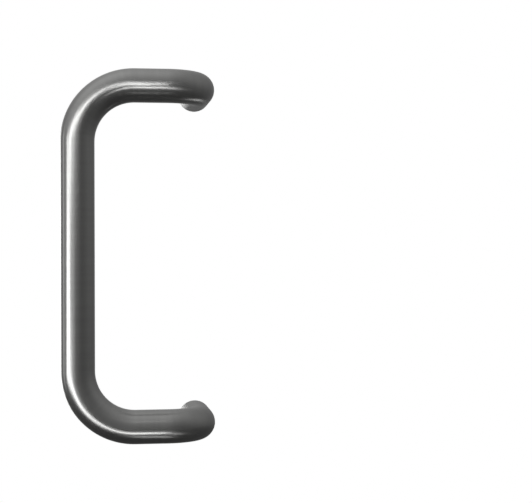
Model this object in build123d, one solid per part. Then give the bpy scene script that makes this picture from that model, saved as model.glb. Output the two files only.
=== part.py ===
from build123d import *

import os

# Cranked D pull handle for a door: one stainless tube, bent four times, stands off the door on two
# feet, and a turned and tapped plug welded into each foot takes the bolt that comes through the door.
#
# Millimetres. The feet stand on the door face, the plane Y = 0, one above the other on X = 0.
# +Z runs up along the grip, +Y runs into the door, and the origin lies midway between the feet.

# Overall sizes, as the handle is sold and ordered
tube_diameter = 30.0
fixing_centres = 300.0
crank_offset = 108.0  # sideways, from the line of the fixings to the axis of the grip
projection = 85.0  # from the door face to the front of the grip

# The tube and its bends, which are measured at the middle of the tube
tube_wall = 1.5
grip_bend_radius = 50.0
foot_bend_radius = 30.0
foot_edge_break = 0.5

# The end plugs, with a hole tapped M8
plug_length = 18.0
plug_clearance = 0.05  # all round, before the plug is welded in
plug_lead = 1.0  # bevel that lets the plug start into the tube
weld_groove = 0.4  # bevel at the outer face, where the weld lies
tapping_drill = 6.8
thread_mouth_break = 0.5

# Worked out from the sizes above
tube_radius = tube_diameter / 2
bore_radius = tube_radius - tube_wall
plug_radius = bore_radius - plug_clearance
foot_height = fixing_centres / 2
bend_plane = tube_radius - projection  # the plane, in Y, of the grip and both arms


def tube_centre_line():
    """The middle of the tube, from the lower foot, out, across, up the grip and back to the upper foot."""
    corners = [
        (0, 0, -foot_height),
        (0, bend_plane, -foot_height),
        (-crank_offset, bend_plane, -foot_height),
        (-crank_offset, bend_plane, foot_height),
        (0, bend_plane, foot_height),
        (0, 0, foot_height),
    ]
    bends = [foot_bend_radius, grip_bend_radius, grip_bend_radius, foot_bend_radius]
    return FilletPolyline(*corners, radius=bends)


def bent_tube():
    """The hollow tube, cut square at both feet, with the outer edge broken where it meets the door."""
    centre_line = tube_centre_line()
    start = Plane(origin=centre_line @ 0, z_dir=centre_line % 0)
    section = start * (Circle(tube_radius) - Circle(bore_radius))
    tube = sweep(section, path=centre_line)
    foot_edges = tube.edges().filter_by(GeomType.CIRCLE).filter_by(lambda edge: abs(edge.center().Y) < 1e-6)
    outer_edges = foot_edges.filter_by(lambda edge: edge.radius > bore_radius + tube_wall / 2)
    return chamfer(outer_edges, foot_edge_break)


def end_plug(height):
    """One turned plug, tapped right through, with its outer face flush with the foot at this height."""
    half_section = Polyline(
        (tapping_drill / 2 + thread_mouth_break, 0),
        (plug_radius - weld_groove, 0),
        (plug_radius, -weld_groove),
        (plug_radius, plug_lead - plug_length),
        (plug_radius - plug_lead, -plug_length),
        (tapping_drill / 2, -plug_length),
        (tapping_drill / 2, -thread_mouth_break),
        close=True,
    )
    plug = revolve(make_face(half_section), axis=Axis.Y)
    return Pos(0, 0, height) * plug


pieces = {
    "handle_tube": bent_tube(),
    "upper_end_plug": end_plug(foot_height),
    "lower_end_plug": end_plug(-foot_height),
}

os.makedirs("parts", exist_ok=True)
for name, piece in pieces.items():
    export_step(piece, f"parts/{name}.step")
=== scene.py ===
from math import atan2, cos, hypot, pi, radians, sin, tan

import bpy
from mathutils import Matrix, Vector


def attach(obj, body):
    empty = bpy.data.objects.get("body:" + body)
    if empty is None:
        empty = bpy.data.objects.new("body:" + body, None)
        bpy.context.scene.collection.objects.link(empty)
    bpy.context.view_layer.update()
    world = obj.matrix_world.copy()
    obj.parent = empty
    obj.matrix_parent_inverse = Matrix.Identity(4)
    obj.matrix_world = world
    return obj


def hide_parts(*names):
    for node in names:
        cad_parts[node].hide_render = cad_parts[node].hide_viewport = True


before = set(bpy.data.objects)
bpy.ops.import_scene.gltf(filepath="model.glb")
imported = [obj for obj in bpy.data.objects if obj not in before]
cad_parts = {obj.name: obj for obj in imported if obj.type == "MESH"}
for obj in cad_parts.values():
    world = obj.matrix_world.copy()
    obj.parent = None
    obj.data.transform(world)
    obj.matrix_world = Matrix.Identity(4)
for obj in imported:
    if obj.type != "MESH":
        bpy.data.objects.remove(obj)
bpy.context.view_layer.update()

# The handle tube
# One length of round stainless tube, ground to a satin finish with the grain running round it. It is bent
# four times, as a tube bender does it: foot, arm, grip, arm, foot. Both ends are cut square for the door.
tube_radius = 0.015
tube_wall = 0.0015
foot_height = 0.150  # half the fixing centres
crank_offset = 0.108
bend_plane = -0.070  # where the grip and the arms lie, in Y
grip_bend_radius = 0.050
foot_bend_radius = 0.030
foot_length = -bend_plane - foot_bend_radius
arm_length = crank_offset - grip_bend_radius - foot_bend_radius
grip_length = 2 * (foot_height - grip_bend_radius)
foot_edge_break = 0.0005
foot_edge_segments = 3

upside_down = Vector((1, 1, -1))
upper_foot_bend = Vector((-foot_bend_radius, bend_plane + foot_bend_radius, foot_height))
upper_grip_bend = Vector((-crank_offset + grip_bend_radius, bend_plane, foot_height - grip_bend_radius))
lower_foot_bend = upper_foot_bend * upside_down
lower_grip_bend = upper_grip_bend * upside_down

tube_sides = 96
foot_steps = 10
foot_bend_steps = 28
arm_steps = 6
grip_bend_steps = 40
grip_steps = 40
tube_smooth_angle = 35


def draw_out(way, length, steps):
    """Extrudes the selected rim straight on, in equal steps."""
    for _ in range(steps):
        step = Vector(way) * (length / steps)
        bpy.ops.mesh.extrude_region_move(TRANSFORM_OT_translate={"value": step})


def bend_round(centre, axis, turn, steps):
    """Carries the selected rim round part of a circle. The operator counts its angle the other way round."""
    bpy.ops.mesh.spin(steps=steps, angle=-radians(turn), center=centre, axis=axis)


def select_edges(piece, wanted):
    """Leaves only the edges whose two ends pass the test selected, in edit mode."""
    bpy.ops.object.mode_set(mode="EDIT")
    bpy.ops.mesh.select_mode(type="EDGE")
    bpy.ops.mesh.select_all(action="DESELECT")
    bpy.ops.object.mode_set(mode="OBJECT")
    points = piece.data.vertices
    for edge in piece.data.edges:
        edge.select = all(wanted(points[end].co) for end in edge.vertices)
    bpy.ops.object.mode_set(mode="EDIT")


bpy.ops.object.select_all(action="DESELECT")
bpy.ops.mesh.primitive_circle_add(
    vertices=tube_sides, radius=tube_radius, location=(0, 0, -foot_height), rotation=(pi / 2, 0, 0)
)
tube = bpy.context.active_object
tube.name = "satin_handle_tube"
bpy.ops.object.transform_apply(location=True, rotation=True, scale=True)
bpy.ops.object.mode_set(mode="EDIT")
bpy.ops.mesh.select_all(action="SELECT")
draw_out((0, -1, 0), foot_length, foot_steps)
bend_round(lower_foot_bend, (0, 0, 1), -90, foot_bend_steps)
draw_out((-1, 0, 0), arm_length, arm_steps)
bend_round(lower_grip_bend, (0, 1, 0), 90, grip_bend_steps)
draw_out((0, 0, 1), grip_length, grip_steps)
bend_round(upper_grip_bend, (0, 1, 0), 90, grip_bend_steps)
draw_out((1, 0, 0), arm_length, arm_steps)
bend_round(upper_foot_bend, (0, 0, 1), 90, foot_bend_steps)
draw_out((0, 1, 0), foot_length, foot_steps)
bpy.ops.mesh.select_all(action="SELECT")
bpy.ops.mesh.normals_make_consistent(inside=False)
bpy.ops.object.mode_set(mode="OBJECT")

wall = tube.modifiers.new("wall", "SOLIDIFY")
wall.thickness = tube_wall
wall.offset = -1
bpy.ops.object.modifier_apply(modifier="wall")


def on_outer_foot_edge(point):
    """Whether a point lies on the outer edge of a foot's cut end."""
    across = hypot(point.x, abs(point.z) - foot_height)
    return point.y > -tube_wall / 2 and across > tube_radius - tube_wall / 2


select_edges(tube, on_outer_foot_edge)
bpy.ops.mesh.bevel(offset=foot_edge_break, segments=foot_edge_segments, affect="EDGES")
bpy.ops.object.mode_set(mode="OBJECT")
bpy.ops.object.shade_smooth_by_angle(angle=radians(tube_smooth_angle))


def straightened(point):
    """Where a point lay before the tube was bent, with the middle of the grip at the origin: how far it was
    from the axis, outwards of the grip bends and then outwards of the foot bends, and how far along. The
    last number says how much the metal there was stretched, or if less than 0 squeezed, by a bend."""
    height = abs(point.z)
    up = height - foot_height
    front = bend_plane - point.y
    past_foot_bend = Vector((point.x - upper_foot_bend.x, upper_foot_bend.y - point.y))
    past_grip_bend = Vector((upper_grip_bend.x - point.x, height - upper_grip_bend.z))
    half_grip = grip_length / 2
    grip_bend_end = half_grip + grip_bend_radius * pi / 2
    foot_bend_start = grip_bend_end + arm_length
    stretch = 0
    if past_foot_bend.x > 0 and past_foot_bend.y < 0:
        out_of_grip, out_of_foot = up, point.x
        along = foot_bend_start + foot_bend_radius * pi / 2 - past_foot_bend.y
    elif past_foot_bend.x > 0:
        turned = atan2(past_foot_bend.x, past_foot_bend.y)
        out_of_grip, out_of_foot = up, past_foot_bend.length - foot_bend_radius
        along = foot_bend_start + foot_bend_radius * turned
        stretch = out_of_foot / foot_bend_radius * sin(2 * turned)
    elif past_grip_bend.x < 0:
        out_of_grip, out_of_foot = up, front
        along = grip_bend_end - past_grip_bend.x
    elif past_grip_bend.y > 0:
        turned = atan2(past_grip_bend.y, past_grip_bend.x)
        out_of_grip, out_of_foot = past_grip_bend.length - grip_bend_radius, front
        along = half_grip + grip_bend_radius * turned
        stretch = out_of_grip / grip_bend_radius * sin(2 * turned)
    else:
        out_of_grip, out_of_foot = past_grip_bend.x - grip_bend_radius, front
        along = height
    if point.z < 0:
        along = -along
    return Vector((out_of_grip, out_of_foot, along)), stretch


tube.data.attributes.new("straight_place", "FLOAT_VECTOR", "POINT")
tube.data.attributes.new("bend_stretch", "FLOAT", "POINT")
tube.data.uv_layers.new(name="unrolled")
places, stretches = zip(*(straightened(vertex.co) for vertex in tube.data.vertices))
for number, place in enumerate(places):
    tube.data.attributes["straight_place"].data[number].vector = place
    tube.data.attributes["bend_stretch"].data[number].value = stretches[number]

unrolled = tube.data.uv_layers["unrolled"].data
for face in tube.data.polygons:
    middle = sum((places[corner] for corner in face.vertices), Vector()) / len(face.vertices)
    middle_turn = atan2(middle.y, middle.x)
    for loop, corner in zip(face.loop_indices, face.vertices):
        turn = atan2(places[corner].y, places[corner].x)
        turn -= 2 * pi * round((turn - middle_turn) / (2 * pi))
        unrolled[loop].uv = (places[corner].z, turn * tube_radius)


def put_in(tree, socket, value):
    """Sets a socket to a plain value, or links it to another node's output."""
    if isinstance(value, bpy.types.NodeSocket):
        tree.links.new(value, socket)
    else:
        socket.default_value = value


def work_out(tree, operation, first, second=0):
    """One step of arithmetic on two numbers, or on the numbers that come out of other nodes."""
    step = tree.nodes.new("ShaderNodeMath")
    step.operation = operation
    put_in(tree, step.inputs[0], first)
    put_in(tree, step.inputs[1], second)
    return step.outputs[0]


def stretched_noise(tree, place, repeats, detail):
    """A noise with so many repeats a metre along each axis of the place that it reads, spread over 0 to 1."""
    scaled = tree.nodes.new("ShaderNodeVectorMath")
    scaled.operation = "MULTIPLY"
    put_in(tree, scaled.inputs[0], place)
    scaled.inputs[1].default_value = repeats
    noise = tree.nodes.new("ShaderNodeTexNoise")
    noise.inputs["Scale"].default_value = 1
    noise.inputs["Detail"].default_value = detail
    put_in(tree, noise.inputs["Vector"], scaled.outputs[0])
    return noise.outputs["Fac"]


def mixed_colour(tree, share, first, second):
    """A colour between two others, by a share that runs from 0 to 1."""
    mix = tree.nodes.new("ShaderNodeMix")
    mix.data_type = "RGBA"
    put_in(tree, mix.inputs["Factor"], share)
    mix.inputs["A"].default_value = first
    mix.inputs["B"].default_value = second
    return mix.outputs["Result"]


def bumped(tree, height, depth, normal=None):
    """The surface's normal after a height that runs from 0 to 1 has been raised to a depth in metres."""
    bump = tree.nodes.new("ShaderNodeBump")
    bump.inputs["Distance"].default_value = depth
    put_in(tree, bump.inputs["Height"], height)
    if normal:
        put_in(tree, bump.inputs["Normal"], normal)
    return bump.outputs["Normal"]


dark_satin = (0.29, 0.29, 0.285, 1)
pale_satin = (0.34, 0.34, 0.335, 1)
satin_roughness = 0.277
grain_roughness = 0.008
handling_roughness = 0.008
grain_strength = 0.66  # from 0 to 1, how much more the steel blurs along the tube than round it
grain_repeats = (60, 60, 2600)  # a metre, twice across the tube and then along it
belt_mark_repeats = (25, 25, 300)
handling_repeats = (35, 35, 20)
peel_repeats = (700, 700, 700)
grain_depth = 0.000004
peel_depth = 0.00003  # the skin of the outside of a bend, which stretches as it is bent

satin_steel = bpy.data.materials.new("satin_steel")
satin_steel.use_nodes = True
tree = satin_steel.node_tree
steel = tree.nodes["Principled BSDF"]
steel.inputs["Metallic"].default_value = 1
steel.inputs["Anisotropic"].default_value = grain_strength
tangent = tree.nodes.new("ShaderNodeTangent")
tangent.direction_type = "UV_MAP"
tangent.uv_map = "unrolled"
put_in(tree, steel.inputs["Tangent"], tangent.outputs["Tangent"])

before_bending = tree.nodes.new("ShaderNodeAttribute")
before_bending.attribute_name = "straight_place"
where = before_bending.outputs["Vector"]
in_bend = tree.nodes.new("ShaderNodeAttribute")
in_bend.attribute_name = "bend_stretch"
grain = stretched_noise(tree, where, grain_repeats, 3)
belt_marks = stretched_noise(tree, where, belt_mark_repeats, 2)
handling = stretched_noise(tree, where, handling_repeats, 3)
peel = stretched_noise(tree, where, peel_repeats, 2)

put_in(tree, steel.inputs["Base Color"], mixed_colour(tree, belt_marks, dark_satin, pale_satin))
rough_from_grain = work_out(tree, "MULTIPLY", grain, grain_roughness)
rough_from_handling = work_out(tree, "MULTIPLY", handling, handling_roughness)
rough = work_out(tree, "ADD", rough_from_grain, rough_from_handling)
put_in(tree, steel.inputs["Roughness"], work_out(tree, "ADD", rough, satin_roughness))

ground = bumped(tree, grain, grain_depth)
outer_stretch = work_out(tree, "MAXIMUM", in_bend.outputs["Fac"], 0)
peel_height = work_out(tree, "MULTIPLY", peel, outer_stretch)
put_in(tree, steel.inputs["Normal"], bumped(tree, peel_height, peel_depth, ground))

tube.data.materials.append(satin_steel)
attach(tube, "root")
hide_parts("handle_tube")

# The end plugs
# A stainless plug turned on a lathe closes each foot, flush with the tube's cut end, and is welded in round
# the groove at its edge. It is drilled and tapped M8 right through for the bolt that comes through the door.
plug_length = 0.018
plug_radius = 0.01345
plug_lead = 0.001
weld_groove = 0.0004
tapping_radius = 0.0034
mouth_break = 0.0005
mouth_radius = tapping_radius + mouth_break
thread_pitch = 0.00125
thread_depth = 0.00064
thread_length = plug_length - mouth_break
thread_root_end = 1 / 16  # where the flat of the thread's groove ends, in pitches from its middle
thread_flank_end = 3 / 8
rings_per_pitch = 10
bore_reach = tapping_radius * 1.01  # only the bore's own rings lie within it
merge_distance = 0.000005
plug_smooth_angle = 30


def turn_to(depth, radius):
    """Carries the plug's outline, seen as a half section, on to its next corner."""
    outline = bpy.context.active_object
    outline.update_from_editmode()
    rim = [vertex.co for vertex in outline.data.vertices if vertex.select]
    last_depth = -rim[0].y
    last_radius = hypot(rim[0].x, rim[0].z)
    draw_out((0, -1, 0), depth - last_depth, 1)
    growth = radius / last_radius
    bpy.ops.transform.resize(value=(growth, 1, growth), center_override=(0, -depth, 0))


def within(low, number, high):
    """The number, or the limit that it passes."""
    return min(max(number, low), high)


bpy.ops.object.select_all(action="DESELECT")
bpy.ops.mesh.primitive_circle_add(vertices=tube_sides, radius=mouth_radius, rotation=(pi / 2, 0, 0))
upper_plug = bpy.context.active_object
upper_plug.name = "upper_tapped_plug"
bpy.ops.object.transform_apply(location=False, rotation=True, scale=False)
bpy.ops.object.mode_set(mode="EDIT")
bpy.ops.mesh.select_all(action="SELECT")
turn_to(0, plug_radius - weld_groove)
turn_to(weld_groove, plug_radius)
turn_to(plug_length - plug_lead, plug_radius)
turn_to(plug_length, plug_radius - plug_lead)
turn_to(plug_length, tapping_radius)
draw_out((0, 1, 0), thread_length, round(thread_length / thread_pitch * rings_per_pitch))
turn_to(0, mouth_radius)
bpy.ops.mesh.select_all(action="SELECT")
bpy.ops.mesh.remove_doubles(threshold=merge_distance)
bpy.ops.mesh.normals_make_consistent(inside=False)
bpy.ops.object.mode_set(mode="OBJECT")

for vertex in upper_plug.data.vertices:
    radius = hypot(vertex.co.x, vertex.co.z)
    if radius < bore_reach:
        turns = vertex.co.y / thread_pitch - atan2(vertex.co.x, vertex.co.z) / (2 * pi)
        from_root = abs(turns - round(turns))
        cut = within(0, (thread_flank_end - from_root) / (thread_flank_end - thread_root_end), 1)
        to_end = min(-mouth_break - vertex.co.y, vertex.co.y + plug_length)
        run_out = within(0, to_end / thread_pitch, 1)
        cut_radius = radius + thread_depth * cut * run_out
        vertex.co.x *= cut_radius / radius
        vertex.co.z *= cut_radius / radius
bpy.ops.object.shade_smooth_by_angle(angle=radians(plug_smooth_angle))

dark_turned = (0.31, 0.31, 0.30, 1)
pale_turned = (0.38, 0.38, 0.37, 1)
turned_roughness = 0.24
ring_roughness = 0.12
ring_repeats = 2200  # a metre, out from the plug's axis
ring_depth = 0.00003
stain_repeats = (220, 220, 220)

turned_steel = bpy.data.materials.new("turned_steel")
turned_steel.use_nodes = True
tree = turned_steel.node_tree
steel = tree.nodes["Principled BSDF"]
steel.inputs["Metallic"].default_value = 1
coordinates = tree.nodes.new("ShaderNodeTexCoord")
axes = tree.nodes.new("ShaderNodeSeparateXYZ")
put_in(tree, axes.inputs[0], coordinates.outputs["Object"])
from_foot = work_out(tree, "SUBTRACT", work_out(tree, "ABSOLUTE", axes.outputs["Z"]), foot_height)
across_squared = work_out(tree, "MULTIPLY", axes.outputs["X"], axes.outputs["X"])
up_squared = work_out(tree, "MULTIPLY", from_foot, from_foot)
from_axis = work_out(tree, "SQRT", work_out(tree, "ADD", across_squared, up_squared))
tool_rings = tree.nodes.new("ShaderNodeTexNoise")
tool_rings.noise_dimensions = "1D"
tool_rings.inputs["Scale"].default_value = ring_repeats
tool_rings.inputs["Detail"].default_value = 2
put_in(tree, tool_rings.inputs["W"], from_axis)
stains = stretched_noise(tree, coordinates.outputs["Object"], stain_repeats, 3)
put_in(tree, steel.inputs["Base Color"], mixed_colour(tree, stains, dark_turned, pale_turned))
rough_from_rings = work_out(tree, "MULTIPLY", tool_rings.outputs["Fac"], ring_roughness)
put_in(tree, steel.inputs["Roughness"], work_out(tree, "ADD", rough_from_rings, turned_roughness))
put_in(tree, steel.inputs["Normal"], bumped(tree, tool_rings.outputs["Fac"], ring_depth))
upper_plug.data.materials.append(turned_steel)

bpy.ops.object.duplicate()
lower_plug = bpy.context.active_object
lower_plug.name = "lower_tapped_plug"
for plug, height, node in (
    (upper_plug, foot_height, "upper_end_plug"),
    (lower_plug, -foot_height, "lower_end_plug"),
):
    bpy.ops.object.select_all(action="DESELECT")
    plug.select_set(True)
    bpy.context.view_layer.objects.active = plug
    bpy.ops.transform.translate(value=(0, 0, height))
    bpy.ops.object.transform_apply(location=True, rotation=False, scale=False)
    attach(plug, "root")
    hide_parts(node)

# The floor and the flag
# A plain pale studio floor, as far below the handle as on a door. A dark flag, which grows paler
# towards its rim, hangs between them and keeps the floor's brightness out of the steel. It is seen in the
# steel alone, casts no shadow and lights nothing: its colour is a painted reflection, painted shade on the
# underside of the steel.
floor_depth = 1.0
floor_radius = 3.5
floor_whiteness = 0.75
floor_paint = (0.85, 0.85, 0.85, 1)
flag_depth = 0.45
flag_radius = 2.0
# The flag's colour from middle to rim: painted shade that the steel reflects on its underside
flag_middle = 0.098
flag_rim = 0.29
matt_roughness = 0.9
round_sides = 96
full_white = (1, 1, 1, 1)


def how_seen(tree):
    """Two numbers, 1 or 0: whether the camera sees this directly, and whether mirrored or through glass."""
    light_path = tree.nodes.new("ShaderNodeLightPath")
    in_metal = light_path.outputs["Is Glossy Ray"]
    in_glass = light_path.outputs["Is Transmission Ray"]
    return light_path.outputs["Is Camera Ray"], work_out(tree, "MAXIMUM", in_metal, in_glass)


bpy.ops.object.select_all(action="DESELECT")
bpy.ops.mesh.primitive_circle_add(
    vertices=round_sides, radius=floor_radius, fill_type="NGON", location=(0, 0, -floor_depth)
)
floor = bpy.context.active_object
floor.name = "studio_floor"
pale_floor = bpy.data.materials.new("pale_floor")
pale_floor.use_nodes = True
tree = pale_floor.node_tree
paint = tree.nodes["Principled BSDF"]
paint.inputs["Base Color"].default_value = floor_paint
paint.inputs["Roughness"].default_value = matt_roughness
white = tree.nodes.new("ShaderNodeEmission")
white.inputs["Color"].default_value = full_white
directly, mirrored = how_seen(tree)
seen = work_out(tree, "MAXIMUM", directly, mirrored)
choice = tree.nodes.new("ShaderNodeMixShader")
put_in(tree, choice.inputs["Fac"], work_out(tree, "MULTIPLY", seen, floor_whiteness))
put_in(tree, choice.inputs[1], paint.outputs["BSDF"])
put_in(tree, choice.inputs[2], white.outputs["Emission"])
put_in(tree, tree.nodes["Material Output"].inputs["Surface"], choice.outputs["Shader"])
floor.data.materials.append(pale_floor)

bpy.ops.mesh.primitive_circle_add(
    vertices=round_sides, radius=flag_radius, fill_type="NGON", location=(0, 0, -flag_depth)
)
flag = bpy.context.active_object
flag.name = "painted_reflection_flag"
# This material's colour is painted reflection: it paints the steel's underside darker
painted_dark_reflection = bpy.data.materials.new("painted_dark_reflection")
painted_dark_reflection.use_nodes = True
tree = painted_dark_reflection.node_tree
reflected_shade_paint = tree.nodes["Principled BSDF"]
reflected_shade_paint.inputs["Roughness"].default_value = matt_roughness
coordinates = tree.nodes.new("ShaderNodeTexCoord")
from_middle = tree.nodes.new("ShaderNodeVectorMath")
from_middle.operation = "LENGTH"
put_in(tree, from_middle.inputs[0], coordinates.outputs["Object"])
paler = tree.nodes.new("ShaderNodeMapRange")
paler.interpolation_type = "SMOOTHSTEP"
paler.inputs["From Max"].default_value = flag_radius
paler.inputs["To Min"].default_value = flag_middle
paler.inputs["To Max"].default_value = flag_rim
put_in(tree, paler.inputs["Value"], from_middle.outputs["Value"])
put_in(tree, reflected_shade_paint.inputs["Base Color"], paler.outputs["Result"])
flag.data.materials.append(painted_dark_reflection)
# Hidden from the camera, from diffuse light and from shadows, so the flag is only a painted reflection in the
# steel
flag.visible_camera = False
flag.visible_diffuse = False
flag.visible_shadow = False

# The studio light
# A room whose light grows with height, and softboxes with grids, each turned to one stretch of the tube, that
# run together into one bright line along the steel. One more lights the back. The camera sees a white
# backdrop behind the handle, which shows only softly in the steel.
room_level = 0.244
height_gain = 1.2
left_gain = 0.58
left_fade = 2  # how fast the light from the left fades towards the back
right_shade = 0.33
backdrop_in_steel = 0.15
backdrop_falloff = 3

arm_aim = -0.048  # where on the arms and the feet the softboxes point, in X
foot_aim = -0.016
foot_aim_behind_front = 0.005
tube_front = bend_plane - tube_radius
bend_reach = grip_bend_radius * cos(radians(45))
handle_middle = Vector((-crank_offset / 2, bend_plane, 0))
grip_front = Vector((-crank_offset, tube_front, 0))
upper_bend_front = upper_grip_bend + Vector((-bend_reach, -tube_radius, bend_reach))
upper_arm_front = Vector((arm_aim, tube_front, foot_height))
upper_foot_front = Vector((foot_aim, tube_front + foot_aim_behind_front, foot_height))
lower_bend_front = upper_bend_front * upside_down
lower_arm_front = upper_arm_front * upside_down
lower_foot_front = upper_foot_front * upside_down


def softbox(name, aim, distance, grid, azimuth, elevation, wide, tall, lean, brightness):
    """A rectangular lamp that faces a point of the handle. Its place, its width and height and how far it
    leans are degrees seen from there, and azimuth counts to the right from the camera's side. The grid keeps
    its light within so many degrees of straight ahead."""
    lamp = bpy.data.lights.new(name, "AREA")
    lamp.shape = "RECTANGLE"
    lamp.size = 2 * distance * tan(radians(wide) / 2)
    lamp.size_y = 2 * distance * tan(radians(tall) / 2)
    lamp.spread = 2 * radians(grid)
    let_through = 1 - radians(grid) / tan(radians(grid))
    lamp.energy = brightness * 4 * lamp.size * lamp.size_y * let_through
    box = bpy.data.objects.new(name, lamp)
    bpy.context.scene.collection.objects.link(box)
    level = cos(radians(elevation))
    way = Vector((sin(radians(azimuth)) * level, -cos(radians(azimuth)) * level, sin(radians(elevation))))
    turned = way.to_track_quat("Z", "Y").to_matrix() @ Matrix.Rotation(radians(lean), 3, "Z")
    box.location = aim + way * distance
    box.rotation_euler = turned.to_euler()
    box.visible_camera = False


softbox(
    "grip_rim_softbox", grip_front, distance=1.2, grid=70,
    azimuth=-106, elevation=-5, wide=11, tall=46, lean=0, brightness=0.75,
)
softbox(
    "grip_softbox", grip_front, distance=1.2, grid=70,
    azimuth=-65, elevation=-6, wide=24, tall=31, lean=-26, brightness=3.9,
)
softbox(
    "grip_side_softbox", grip_front, distance=1.2, grid=70,
    azimuth=-33, elevation=-4, wide=27, tall=46, lean=-4, brightness=0.34,
)
softbox(
    "upper_bend_left_softbox", upper_bend_front, distance=0.45, grid=32,
    azimuth=-45, elevation=8, wide=26, tall=17, lean=41, brightness=4.5,
)
softbox(
    "upper_bend_softbox", upper_bend_front, distance=0.45, grid=32,
    azimuth=-22, elevation=14.5, wide=25, tall=9.5, lean=15, brightness=6.2,
)
softbox(
    "upper_bend_right_softbox", upper_bend_front, distance=0.45, grid=32,
    azimuth=-2, elevation=15, wide=19, tall=3, lean=-18, brightness=6.5,
)
softbox(
    "lower_bend_left_softbox", lower_bend_front, distance=0.45, grid=32,
    azimuth=-48, elevation=-14, wide=22, tall=17, lean=-46, brightness=4.2,
)
softbox(
    "lower_bend_softbox", lower_bend_front, distance=0.45, grid=26,
    azimuth=-37, elevation=-34, wide=60, tall=20, lean=-25, brightness=3.5,
)
softbox(
    "lower_bend_right_softbox", lower_bend_front, distance=0.45, grid=32,
    azimuth=-12, elevation=-40, wide=14, tall=8, lean=-20, brightness=4.0,
)
softbox(
    "upper_arm_softbox", upper_arm_front, distance=0.16, grid=12,
    azimuth=-8, elevation=1, wide=12, tall=14, lean=31, brightness=14,
)
softbox(
    "upper_arm_second_softbox", upper_arm_front, distance=0.16, grid=12,
    azimuth=0, elevation=-21, wide=16, tall=9, lean=4, brightness=8.5,
)
softbox(
    "lower_arm_softbox", lower_arm_front, distance=0.16, grid=12,
    azimuth=-2, elevation=-38, wide=16, tall=13, lean=-8, brightness=6.6,
)
softbox(
    "lower_arm_second_softbox", lower_arm_front, distance=0.16, grid=12,
    azimuth=9, elevation=-65, wide=28, tall=9, lean=-42, brightness=2.3,
)
softbox(
    "upper_foot_softbox", upper_foot_front, distance=0.16, grid=16,
    azimuth=18, elevation=-24, wide=34, tall=11.5, lean=-23, brightness=1.9,
)
softbox(
    "upper_foot_low_softbox", upper_foot_front, distance=0.25, grid=12,
    azimuth=137, elevation=-43, wide=10, tall=26, lean=-9, brightness=1.8,
)
softbox(
    "lower_foot_softbox", lower_foot_front, distance=0.16, grid=16,
    azimuth=24, elevation=-47, wide=38, tall=10, lean=-12, brightness=1.2,
)
softbox(
    "back_softbox", handle_middle, distance=1.4, grid=60,
    azimuth=-155, elevation=-6, wide=30, tall=36, lean=0, brightness=2.0,
)

studio = bpy.data.worlds.new("studio")
bpy.context.scene.world = studio
studio.use_nodes = True
tree = studio.node_tree
room = tree.nodes["Background"]
room.inputs["Color"].default_value = full_white
coordinates = tree.nodes.new("ShaderNodeTexCoord")
axes = tree.nodes.new("ShaderNodeSeparateXYZ")
put_in(tree, axes.inputs[0], coordinates.outputs["Generated"])
rightwards = axes.outputs["X"]
raised = work_out(tree, "EXPONENT", work_out(tree, "MULTIPLY", axes.outputs["Z"], height_gain))
from_height = work_out(tree, "MULTIPLY", raised, room_level)
behind = work_out(tree, "MAXIMUM", axes.outputs["Y"], 0)
left_share = work_out(tree, "SUBTRACT", 1, work_out(tree, "MULTIPLY", behind, left_fade))
leftwards = work_out(tree, "MAXIMUM", work_out(tree, "MULTIPLY", rightwards, -left_gain), 0)
# The product comes to a quarter halfway to the right, where the shade is deepest, and to nothing at its ends.
halfway_right = work_out(tree, "MULTIPLY", rightwards, work_out(tree, "SUBTRACT", 1, rightwards))
shaded = work_out(tree, "MAXIMUM", work_out(tree, "MULTIPLY", halfway_right, 4 * right_shade), 0)
from_left = work_out(tree, "MULTIPLY", leftwards, work_out(tree, "MAXIMUM", left_share, 0))
from_sides = work_out(tree, "SUBTRACT", from_left, shaded)
from_round = work_out(tree, "ADD", from_sides, 1)
put_in(tree, room.inputs["Strength"], work_out(tree, "MULTIPLY", from_height, from_round))

backdrop = tree.nodes.new("ShaderNodeBackground")
backdrop.inputs["Color"].default_value = full_white
in_backdrop = work_out(tree, "POWER", behind, backdrop_falloff)
dimmed_backdrop = work_out(tree, "MULTIPLY", in_backdrop, backdrop_in_steel)
directly, mirrored = how_seen(tree)
seen_mirrored = work_out(tree, "MULTIPLY", mirrored, dimmed_backdrop)
seen = work_out(tree, "MAXIMUM", directly, seen_mirrored)
choice = tree.nodes.new("ShaderNodeMixShader")
put_in(tree, choice.inputs["Fac"], seen)
put_in(tree, choice.inputs[1], room.outputs["Background"])
put_in(tree, choice.inputs[2], backdrop.outputs["Background"])
put_in(tree, tree.nodes["World Output"].inputs["Surface"], choice.outputs["Shader"])

# The camera
# It stands square in front of the door, level with the middle of the handle and turned a little to the right,
# so that the handle comes out left of the middle of the picture.
camera_place = Vector((-0.10537, -1.24421, -0.00022))
camera_yaw = -0.1384
camera_pitch = 0.0034
camera_roll = 0.0029
lens_length = 90.11  # millimetres
lens = bpy.data.cameras.new("camera")
lens.lens = lens_length
camera = bpy.data.objects.new("camera", lens)
bpy.context.scene.collection.objects.link(camera)
camera.matrix_world = (
    Matrix.Translation(camera_place)
    @ Matrix.Rotation(camera_yaw, 4, "Z")
    @ Matrix.Rotation(pi / 2 + camera_pitch, 4, "X")
    @ Matrix.Rotation(-camera_roll, 4, "Z")
)
bpy.context.scene.camera = camera
bpy.context.scene.view_settings.view_transform = "Standard"
